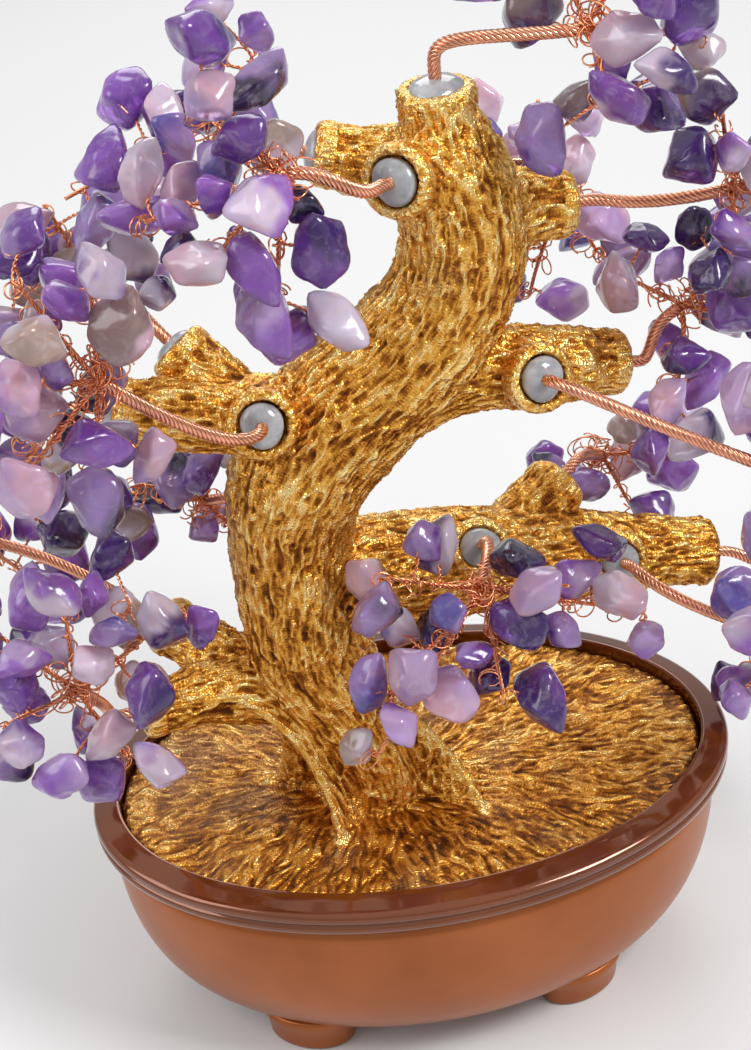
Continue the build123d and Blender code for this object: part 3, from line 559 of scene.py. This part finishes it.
rim_profile = [
    (4.4, 41.0), (2.9, 42.0), (2.2, 42.6), (1.55, 43.2), (1.2, 43.45), (0.65, 43.75), (0.25, 44.15),
    (0.08, 44.7), (0.1, 45.25), (0.35, 45.65), (0.7, 45.85), (0.78, 46.0), (0.55, 46.2), (0.2, 46.45),
    (0.03, 46.9), (0.0, 47.4), (0.1, 47.9), (0.4, 48.35), (0.9, 48.65), (1.6, 48.85), (3.3, 49.35),
    (4.8, 49.8), (5.2, 49.85), (5.42, 49.7), (5.5, 49.3), (5.5, 36.0), (8.8, 35.5), (9.5, 34.0),
]
rim = Build()
rim_rings = [(pot_half_length - inset * mm, pot_half_depth - inset * mm, height * mm)
             for inset, height in rim_profile]
rim.add(oval_rings(rim_rings, rim_sides), ring_faces(len(rim_rings), rim_sides))
piece_of("pot_rim", rim, rim_lacquer, ["pot"])


# Tree casting: smooth limbs, stubs, root fins and ground, joined in one skin and then carved

def mouth_frame(bough):
    mouth = at(*bough["mouth"])
    return mouth, square_on(mouth - at(*bough["root"]))


tree = Build()
limb_lines = []
for rows in limb_shares.values():
    line = smooth_through([[*at(*row[:3]), trunk_radius * row[3]] for row in rows], 6)
    limb_lines.append(line)
    points, radii = line[:, :3], line[:, 3]
    ahead = unit(points[-1] - points[-2])
    points = np.vstack([points] + [points[-1] + ahead * radii[-1] * share for share in cap_reach_shares])
    radii = np.concatenate([radii, radii[-1] * np.array(cap_width_shares)])
    tree.tube(points, radii, limb_sides)
for bough in boughs.values():
    mouth, (_, _, ahead) = mouth_frame(bough)
    root = at(*bough["root"])
    reach = np.linalg.norm(mouth - root)
    root_radius, end_radius = trunk_radius * bough["girth"], mouth_radius * bough["flare"]
    widths = (root_radius + (end_radius - root_radius) * stub_shares) * stub_width_shares
    points = root + ahead * (stub_shares * reach)[:, None]
    limb_lines.append(np.hstack([points, widths[:, None]]))
    tree.tube(points, widths, limb_sides)
foot = at(*limb_shares["trunk"][1][:3]) * np.array([1, 1, 0])
core = [at(*limb_shares["trunk"][k][:3]) for k in (0, 3)]
for top, pull, toe in root_shares:
    ridge = bezier([at(*toe) - np.array([0, 0, root_sink]), at(*pull), at(*top)], ridge_steps)
    web = bezier(core, ridge_steps)
    aside = unit(np.cross(ridge[0] - core[0], [0, 0, 1.0]))
    narrow, broad = aside * ridge_half, aside * web_half
    rings = [np.array([a + narrow, a - narrow, b - broad, b + broad]) for a, b in zip(ridge, web)]
    tree.add(np.vstack(rings), ring_faces(ridge_steps, 4))
    tree.tube(ridge, ridge_radius, ridge_sides)
for tuft in range(tuft_count):
    share, angle = sqrt((tuft + 1) / (tuft_count + 1)), tuft * golden_turn
    far_end = np.array([share * ground_half_length * cos(angle), share * ground_half_depth * sin(angle), 0])
    heading = unit(far_end - foot)
    near_end = far_end - heading * tuft_length
    if np.linalg.norm(near_end - foot) < trunk_radius * limb_shares["trunk"][1][3]:
        continue
    flank = np.array([-heading[1], heading[0], 0])
    rows = []
    for end, half in ((near_end, tuft_width), (far_end, tuft_width * tuft_tip_share)):
        reach = sqrt((end[0] / ground_half_length) ** 2 + (end[1] / ground_half_depth) ** 2)
        level = ground_edge + ground_rise * min(1, (1 - reach) / (1 - ground_plateau))
        low = np.array([0, 0, level - tuft_sink])
        rows += [end - flank * half + low, end + flank * half + low, end + [0, 0, level + tuft_rise]]
    tree.add(np.array(rows), ring_faces(2, 3))
ground_rings = [(ground_centre, ground_centre, ground_underside)]
ground_rings += [(ground_half_length, ground_half_depth, ground_underside)]
ground_rings += [(ground_half_length - inset * mm, ground_half_depth - inset * mm, height * mm)
                 for inset, height in ((0, 46.7), (0.3, 47.4), (1.0, 47.75))]
ground_rings += [(ground_half_length * share, ground_half_depth * share, ground_edge + ground_rise * level)
                 for share, level in ((0.9, 0.75), (0.75, 0.9), (0.55, 1.0), (0.2, 1.05), (0.01, 1.05))]
tree.add(oval_rings(ground_rings, ground_sides), ring_faces(len(ground_rings), ground_sides))

tree_bark = piece_of("tree_bark", tree, antique_gold, ["tree_casting"])


def apply_modifiers(piece):
    """Bakes a piece's modifiers into its mesh."""
    made = bpy.data.meshes.new_from_object(piece.evaluated_get(bpy.context.evaluated_depsgraph_get()))
    old = piece.data
    piece.modifiers.clear()
    piece.data = made
    bpy.data.meshes.remove(old)


remesh = tree_bark.modifiers.new("join", "REMESH")
remesh.mode, remesh.voxel_size, remesh.use_smooth_shade = "VOXEL", skin_voxel, True
smooth = tree_bark.modifiers.new("soften", "SMOOTH")
smooth.factor, smooth.iterations = 0.5, 5
apply_modifiers(tree_bark)
mesh = tree_bark.data
count = len(mesh.vertices)
spots = np.empty(count * 3, np.float32)
mesh.vertices.foreach_get("co", spots)
spots = spots.reshape(-1, 3).astype(float)
normals = np.empty(count * 3, np.float32)
mesh.vertices.foreach_get("normal", normals)
normals = normals.reshape(-1, 3).astype(float)

# The direction of the limbs at each vertex, blended where limbs meet
samples, directions, girths, limb_starts = [], [], [], []
for line in limb_lines:
    points, along = even(line[:, :3], sample_step)
    limb_starts.append(sum(map(len, samples)))
    samples.append(points)
    directions.append(frames_along(points)[2])
    runs = np.concatenate([[0], np.cumsum(np.linalg.norm(np.diff(line[:, :3], axis=0), axis=1))])
    girths.append(np.interp(along, runs, line[:, 3]))
samples, directions, girths = np.vstack(samples), np.vstack(directions), np.concatenate(girths)
limb_ends = limb_starts[1:] + [len(samples)]
ahead = np.zeros_like(spots)
for start in range(0, count, batch_length):
    part = spots[start:start + batch_length]
    gaps = np.linalg.norm(part[:, None] - samples[None], axis=2) - girths[None]
    closest = gaps.min(axis=1)
    for first, last in zip(limb_starts, limb_ends):
        own = gaps[:, first:last]
        pull = np.exp((closest - own.min(axis=1)) / limb_blend)
        ahead[start:start + batch_length] += directions[first + own.argmin(axis=1)] * pull[:, None]


def fade(values, start, span):
    """0 up to the start, 1 past the span, and even between them."""
    return np.clip((values - start) / span, 0, 1)


def noise_at(places):
    return np.array([noise.noise(row) for row in places.tolist()])


def streaks(places, way, size, step, times):
    """Noise drawn out along a direction at each place."""
    shifts = (np.arange(times) - (times - 1) / 2) * step
    return sum(noise_at((places + way * shift) / size) for shift in shifts) / sqrt(times)


# The shares of ground and bark at each vertex. On the ground the marks lead away from the trunk
soil = fade(-spots[:, 2], -soil_top, soil_fade)
bark = 1 - soil
swing = noise_at(spots / swing_size)
outwards = spots - foot
ways_off = np.arctan2(outwards[:, 1], outwards[:, 0]) + swing
radial_way = np.stack([np.cos(ways_off), np.sin(ways_off), np.zeros(count)], axis=1)
ahead /= np.linalg.norm(ahead, axis=1)[:, None]
ahead = ahead * bark[:, None] + radial_way * soil[:, None]
ahead /= np.linalg.norm(ahead, axis=1)[:, None]
bent = spots + np.stack([noise_at(spots / bend_size + k * 9.1) for k in range(3)], axis=1) * bend_reach
lump = noise_at(spots / lump_size)
strand = streaks(bent, ahead, strand_size, strand_step, strand_samples)
strand = 1 - np.minimum(1, mark_sharpness * np.abs(strand))
thread = streaks(bent, ahead, thread_size, thread_step, thread_samples)
thread = 1 - np.minimum(1, mark_sharpness * np.abs(thread))
blade = streaks(spots, ahead, blade_size, blade_step, blade_samples)
swell = bark * (lump_height * lump + strand_height * strand + thread_height * thread - bark_sink)
swell += soil * (mound_height * noise_at(spots / mound_size) + blade_height * np.clip(blade, -0.6, 0.6))
relief_and_light = bark * (0.75 * strand + 0.42 * thread - 0.42) + soil * np.clip(0.75 * blade - 0.08, -0.8, 0.8)
# Painted light: the bark is painted lighter towards the top of the tree
relief_and_light += bark * 0.26 * fade(spots[:, 2], top_light_start, top_light_span)
# Painted shade: the ground is painted darker towards the front
relief_and_light -= soil * 0.22 * fade(-spots[:, 1], shade_start, shade_span)
# Dust in random patches, plus painted reflection: grey-brown on bark flanks facing left and back
dust_and_reflection = 0.7 * noise_at(spots / bark_dust_size) + 0.35 * normals[:, 1] - 0.45 * normals[:, 0] - 0.15
dust_and_reflection = bark * np.clip(dust_and_reflection, 0, 0.5)
# Painted reflection: the ground is painted greyer towards its left and back; the noise adds dust in random
# patches
reflection_share = fade(-spots[:, 0], reflection_left, reflection_left_span) * fade(spots[:, 1], reflection_front, reflection_front_span)
dust_and_reflection += soil * np.clip(0.45 * reflection_share + 0.5 * noise_at(spots / soil_dust_size), 0, 0.55)
spots_new = spots + normals * swell[:, None]

# Sockets: a clean rounded ring with a hollow inside it
for bough in boughs.values():
    mouth, (_, _, out) = mouth_frame(bough)
    away = spots_new - mouth
    depth = away @ out
    radial = np.linalg.norm(away - depth[:, None] * out, axis=1)
    hollow_radius = min(socket_hollow, mouth_radius * bough["flare"] - socket_wall)
    near = (radial < hollow_radius) & (depth > socket_floor) & (depth < socket_reach)
    sink = fade(-radial, -hollow_radius, socket_edge) ** 0.8 * socket_depth
    spots_new[near] -= out * (sink + np.maximum(depth, 0))[near, None]
    relief_and_light[near] = np.where(sink[near] > socket_edge, -0.20, 0.2)
    dust_and_reflection[near] = 0
    ring = (radial > hollow_radius) & (radial < hollow_radius + socket_ring)
    ring &= (depth > ring_floor) & (depth < socket_reach)
    spots_new[ring] += (normals * (ring_height - swell * 0.8)[:, None])[ring]
    relief_and_light[ring] = relief_and_light[ring] * 0.3 + 0.45
    dust_and_reflection[ring] = 0
for top, pull, toe in root_shares:
    ridge = bezier([at(*toe), at(*pull), at(*top)], crest_samples)
    gap = np.full(count, 1.0)
    for spot in ridge:
        gap = np.minimum(gap, np.linalg.norm(spots - spot, axis=1))
    crest = 1 - fade(gap, crest_width, crest_width)
    relief_and_light += (0.70 - relief_and_light) * crest
    dust_and_reflection *= 1 - crest
    spots_new -= normals * (swell * 0.8 * crest)[:, None]
paint(mesh, "relief_and_light", np.stack([
    np.clip(0.48 + 0.46 * relief_and_light + 0.10 * lump * bark, 0, 1), np.clip(dust_and_reflection, 0, 1), np.zeros(count)], axis=1))
flow = mesh.attributes.new("flow", "FLOAT_VECTOR", "POINT")
flow.data.foreach_set("vector", ahead.astype(np.float32).ravel())
mesh.vertices.foreach_set("co", spots_new.astype(np.float32).ravel())
mesh.update()
mesh.polygons.foreach_set("use_smooth", np.ones(len(mesh.polygons), bool))

chance = np.random.default_rng(5)

# Glue: a domed bead in each socket. Each row of its profile is a share of its width and a height in mm
bead_profile = [
    (0.05, -1.9), (0.75, -1.9), (0.94, -1.0), (1.0, -0.1), (0.96, 0.6), (0.84, 1.25), (0.64, 1.75),
    (0.4, 2.05), (0.18, 2.2), (0.04, 2.22),
]
beads = Build()
for name, bough in boughs.items():
    mouth, (side, over, out) = mouth_frame(bough)
    wide = top_bead_radius if name == "top" else bead_radius
    rows = []
    angles = np.arange(bead_sides) * 2 * pi / bead_sides
    for share, height in bead_profile:
        uneven = 1 + 0.05 * np.sin(2 * angles + len(name)) + 0.03 * np.sin(3 * angles + height)
        ring = side * np.cos(angles)[:, None] + over * np.sin(angles)[:, None]
        lift = height * mm * bead_rise_share - bead_sink
        rows.append(mouth + ring * (wide * share * uneven)[:, None] + out * lift)
    beads.add(np.vstack(rows), ring_faces(len(rows), bead_sides))
piece_of("glue_domes", beads, glue, ["glue_beads"])


# Stones: each solid stone of the part, rounded by the polish, with shallow dents

def icosphere(levels):
    """Even directions all round, and the triangles between them."""
    t = (1 + sqrt(5)) / 2
    points = [unit(np.array(p)) for p in (
        (-1, t, 0), (1, t, 0), (-1, -t, 0), (1, -t, 0), (0, -1, t), (0, 1, t), (0, -1, -t), (0, 1, -t),
        (t, 0, -1), (t, 0, 1), (-t, 0, -1), (-t, 0, 1))]
    faces = [(0, 11, 5), (0, 5, 1), (0, 1, 7), (0, 7, 10), (0, 10, 11), (1, 5, 9), (5, 11, 4),
             (11, 10, 2), (10, 7, 6), (7, 1, 8), (3, 9, 4), (3, 4, 2), (3, 2, 6), (3, 6, 8),
             (3, 8, 9), (4, 9, 5), (2, 4, 11), (6, 2, 10), (8, 6, 7), (9, 8, 1)]
    for _ in range(levels):
        halves, finer = {}, []
        for a, b, c in faces:
            mids = []
            for p, q in ((a, b), (b, c), (c, a)):
                key = (min(p, q), max(p, q))
                if key not in halves:
                    halves[key] = len(points)
                    points.append(unit(points[p] + points[q]))
                mids.append(halves[key])
            x, y, z = mids
            finer += [(a, x, z), (b, y, x), (c, z, y), (x, y, z)]
        faces = finer
    return np.array(points), faces


sphere_points, sphere_faces = icosphere(3)


def hulls_of(node):
    """Middle, face directions and face depths of each separate stone of a node."""
    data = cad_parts[node].data
    spots = np.empty(len(data.vertices) * 3, np.float32)
    data.vertices.foreach_get("co", spots)
    spots = spots.reshape(-1, 3).astype(float)
    data.calc_loop_triangles()
    corners = np.empty(len(data.loop_triangles) * 3, np.int32)
    data.loop_triangles.foreach_get("vertices", corners)
    rounded = np.round(spots * 1e6).astype(int)
    _, first, same = np.unique(rounded, axis=0, return_index=True, return_inverse=True)
    corners = same.ravel()[corners].reshape(-1, 3)
    spots = spots[first]
    group = np.arange(len(spots))
    while True:
        before = group.copy()
        np.minimum.at(group, corners, group[corners].min(axis=1)[:, None])
        if (group == before).all():
            break
    found = []
    for label in np.unique(group):
        triangles = corners[group[corners[:, 0]] == label]
        middle = spots[group == label].mean(axis=0)
        a, b, c = (spots[triangles[:, k]] for k in range(3))
        normal = np.cross(b - a, c - a)
        normal /= np.linalg.norm(normal, axis=1)[:, None]
        depth = ((a - middle) * normal).sum(axis=1)
        normal[depth < 0] *= -1
        found.append((middle, normal, np.abs(depth)))
    return found


def stone_reach(ways_out, normals, depths):
    """How far a rounded stone reaches each way."""
    pull = np.maximum(ways_out @ normals.T, 0) / depths
    return (pull**stone_sharpness).sum(axis=1) ** (-1 / stone_sharpness)


palette = {
    "deep": linear("43266c"), "violet": linear("74419d"), "bright": linear("9a63c2"),
    "blue": linear("6054a4"), "mauve": linear("ab8cc6"), "lilac": linear("c6abd8"),
    "pink": linear("deb9cb"), "clear": linear("ddcfe0"), "smoke": linear("8d746f"),
    "sand": linear("b39d90"), "ink": linear("2d2545"),
}
pairs = [
    ("deep", "violet", 6), ("violet", "bright", 9), ("bright", "lilac", 10), ("violet", "mauve", 8),
    ("ink", "deep", 4), ("lilac", "pink", 8), ("pink", "clear", 7), ("blue", "mauve", 4),
    ("violet", "clear", 9), ("smoke", "deep", 4), ("sand", "clear", 3), ("bright", "clear", 8),
    ("deep", "clear", 6), ("ink", "mauve", 5), ("smoke", "pink", 3), ("sand", "violet", 2),
]
weights = np.array([pair[2] for pair in pairs]) / sum(pair[2] for pair in pairs)

stones_by_bough = {}
for name in boughs:
    stones, tints = Build(), []
    hulls = hulls_of(f"{name}_chips")
    for middle, normals_out, depths in hulls:
        reach = stone_reach(sphere_points, normals_out, depths) * stone_swell
        shift = chance.random(3) * 50
        dents = np.array([noise.noise(Vector(row * 1.5 + shift)) for row in sphere_points])
        fine = np.array([noise.noise(Vector(row * 3.2 + shift)) for row in sphere_points])
        reach *= 1 - 0.10 * np.maximum(dents, -0.1) - 0.025 * fine
        stones.add(middle + sphere_points * reach[:, None], sphere_faces)
        one, two, _ = pairs[chance.choice(len(pairs), p=weights)]
        axis = unit(chance.normal(size=3))
        cloud = np.array([noise.noise(Vector(row * 1.1 + shift)) for row in sphere_points])
        share = np.clip((sphere_points @ axis + 0.9 * cloud) * chance.uniform(0.6, 1.6) + 0.5, 0, 1)[:, None]
        share = share * share * (3 - 2 * share)
        shade = chance.uniform(0.95, 1.25)
        tints.append((np.array(palette[one]) * (1 - share) + np.array(palette[two]) * share) * shade)
    piece = piece_of(f"{name}_stones", stones, amethyst, [f"{name}_chips"])
    paint(piece.data, "tint", np.clip(np.vstack(tints), 0, 1))
    stones_by_bough[name] = hulls


# Copper: twisted stems, branches of a few strands, and a twisted pair to each stone with a loop round it

def twisted(build, points, ring, strand, pitch, strands, start=0.0, sides=6, taper=0.0):
    """Strands twisted round a line."""
    points, along = even(points, pitch / 14)
    side, over, _ = frames_along(points)
    shrink = 1 - taper * along / along[-1]
    for number in range(strands):
        angle = start + 2 * pi * number / strands + 2 * pi * along / pitch
        ring_now = (ring * shrink)[:, None]
        line = points + (side * np.cos(angle)[:, None] + over * np.sin(angle)[:, None]) * ring_now
        build.tube(line, strand * shrink, sides)


for name, bough in boughs.items():
    mouth, (_, _, out) = mouth_frame(bough)
    lead = mouth + out * stem_lead
    pull = [lead, lead + out * stem_lead] + [at(*row) for row in bough["course"]] + [at(*bough["parting"])]
    course = np.vstack([mouth - out * (bore_depth - stem_foot), bezier(pull, course_steps)])
    stem = Build()
    twisted(stem, course, strand_ring, strand_radius, strand_pitch, stem_strands)
    core, _ = even(course, core_step)
    stem.tube(core, core_radius, 6)
    piece_of(f"{name}_strands", stem, copper, [f"{name}_stem"])

    end = course[-1]
    heading = unit(course[-1] - course[-2])
    wires = Build()
    branches = []
    for row in bough["ends"]:
        tip = at(*row)
        pulls = [end - heading * branch_root, end + heading * branch_lead, end + (tip - end) * 0.5, tip]
        wave = np.sin(np.linspace(0, 3 * pi, branch_steps))[:, None] * branch_wave * square_on(tip - end)[0]
        line = bezier(pulls, branch_steps) + wave * np.linspace(0, 1, branch_steps)[:, None]
        branches.append(line)
        winding, along = even(line, winding_step)
        side_now, over_now, _ = frames_along(winding)
        angle = along / winding_turn + np.sin(along / winding_sway) * 2
        wide = winding_ring + winding_spread * np.abs(np.sin(along / winding_swell + len(branches)))
        round_line = side_now * np.cos(angle)[:, None] + over_now * np.sin(angle)[:, None]
        winding = winding + round_line * wide[:, None]
        wires.tube(winding[:int(len(winding) * winding_share)], wire_radius, wire_sides)
        twisted(wires, line, branch_ring, branch_strand_radius, branch_pitch, branch_strands,
                chance.random() * 6, wire_sides, branch_taper)
    # Loose turns of wire where the stem parts
    for _ in range(turn_count):
        turns = np.linspace(0, 2 * pi * chance.uniform(0.7, 1.6), turn_steps)
        wide = chance.uniform(turn_small, turn_large)
        a, b, axis = square_on(heading + chance.normal(0, 0.8, 3))
        middle = end + heading * turn_lead + chance.normal(0, turn_scatter, 3)
        drift = axis * (turns - turns.mean())[:, None] * turn_drift
        coil = (a * np.cos(turns)[:, None] + b * np.sin(turns)[:, None] * 0.7) * wide
        wires.tube(middle + coil + drift, curl_radius, wire_sides)
    branch_points = np.vstack(branches)
    for middle, normals_out, depths in stones_by_bough[name]:
        gaps = np.linalg.norm(branch_points - middle, axis=1)
        start = branch_points[gaps.argmin()]
        inward = unit(start - middle)
        touch = middle + inward * stone_reach(inward[None], normals_out, depths)[0] * touch_share
        a, b, _ = square_on(inward)
        swing = chance.random() * 2 * pi
        aside = a * cos(swing) + b * sin(swing)
        sway = start + (touch - start) * 0.4 + aside * pair_sway
        pair = bezier([start, sway, touch + inward * pair_gap], pair_steps)
        if np.linalg.norm(touch - start) > pair_shortest:
            twisted(wires, pair, pair_ring, wire_radius, pair_pitch, 2, swing, wire_sides)
        # Each wire of the pair runs over its side of the stone and back into it
        for sense in (-1, 1):
            turns = np.linspace(0, radians(loop_angle), loop_steps)
            ways_out = inward * np.cos(turns)[:, None] + aside * sense * np.sin(turns)[:, None]
            far = stone_reach(ways_out, normals_out, depths) + loop_rise
            far[-len(loop_dive):] -= loop_dive
            wires.tube(middle + ways_out * far[:, None], wire_radius, wire_sides)
        # A loose curl of the same wire where the twig leaves its branch
        loop = np.linspace(0, 2 * pi * chance.uniform(0.9, 1.7), curl_steps)
        wide = chance.uniform(curl_small, curl_large)
        axis = unit(inward + chance.normal(0, 0.6, 3))
        c, d, _ = square_on(axis)
        drift = np.linspace(-0.5, 0.5, curl_steps)[:, None] * axis * chance.uniform(drift_least, drift_most)
        curl = (c * np.cos(loop)[:, None] + d * np.sin(loop)[:, None] * 0.8) * wide - c * wide + drift
        wires.tube(start + curl, curl_radius, wire_sides)
    piece_of(f"{name}_wires", wires, fine_copper, [f"{name}_twigs"])


# Floor, lamps and surroundings

floor_mesh = bpy.data.meshes.new("floor")
far = 6.0
floor_mesh.from_pydata([(-far, -far, 0), (far, -far, 0), (far, far, 0), (-far, far, 0)], [], [(0, 1, 2, 3)])
floor_shader = Shader("floor", Roughness=0.9)
depth_of = floor_shader.node("ShaderNodeSeparateXYZ")
floor_shader.link(floor_shader.place(), depth_of.inputs[0])
spread = floor_shader.node("ShaderNodeMapRange")
spread.inputs[1].default_value, spread.inputs[2].default_value = -0.10, 0.22
floor_shader.link(depth_of.outputs["Y"], spread.inputs[0])
near_floor = floor_shader.ramp(spread.outputs[0], [(0.0, 0.655), (1.0, 0.665)])
distance = floor_shader.node("ShaderNodeVectorMath", operation="LENGTH")
floor_shader.link(floor_shader.place(), distance.inputs[0])
away_share = floor_shader.node("ShaderNodeMapRange")
away_share.inputs[1].default_value, away_share.inputs[2].default_value = 0.85, 2.5
floor_shader.link(distance.outputs["Value"], away_share.inputs[0])
floor_shader.link(floor_shader.mix(away_share.outputs[0], near_floor, (0.95, 0.95, 0.95)),
                  floor_shader.surface.inputs["Base Color"])
floor_mesh.materials.append(floor_shader.material)
floor = bpy.data.objects.new("floor", floor_mesh)
bpy.context.scene.collection.objects.link(floor)

for name, where, aim, wide, power in (
    ("key", (0.45, -0.30, 0.70), (0, 0, 0.10), 0.28, 4.5),
    ("left", (-0.60, -0.10, 0.55), (0, 0, 0.12), 0.50, 2.3),
    ("behind", (0.10, 0.70, 0.55), (0, 0, 0.12), 0.45, 1.8),
):
    lamp = bpy.data.objects.new(name, bpy.data.lights.new(name, "AREA"))
    lamp.data.size, lamp.data.energy = wide, power
    lamp.location = where
    lamp.rotation_mode = "QUATERNION"
    lamp.rotation_quaternion = (Vector(aim) - Vector(where)).to_track_quat("-Z", "Y")
    bpy.context.scene.collection.objects.link(lamp)

world = bpy.data.worlds.new("studio")
bpy.context.scene.world = world
world.use_nodes = True
sky = world.node_tree
sky.nodes.clear()
sky_out = sky.nodes.new("ShaderNodeOutputWorld")
sky_light = sky.nodes.new("ShaderNodeBackground")
sky_ramp = sky.nodes.new("ShaderNodeValToRGB")
sky_split = sky.nodes.new("ShaderNodeSeparateXYZ")
sky_place = sky.nodes.new("ShaderNodeTexCoord")
sky.links.new(sky_place.outputs["Generated"], sky_split.inputs[0])
sky.links.new(sky_split.outputs["Z"], sky_ramp.inputs[0])
sky_ramp.color_ramp.elements[0].position, sky_ramp.color_ramp.elements[0].color = 0.0, (0.42, 0.42, 0.43, 1)
sky_ramp.color_ramp.elements[1].position, sky_ramp.color_ramp.elements[1].color = 0.85, (0.80, 0.80, 0.81, 1)
sky.links.new(sky_ramp.outputs[0], sky_light.inputs[0])
sky.links.new(sky_light.outputs[0], sky_out.inputs[0])
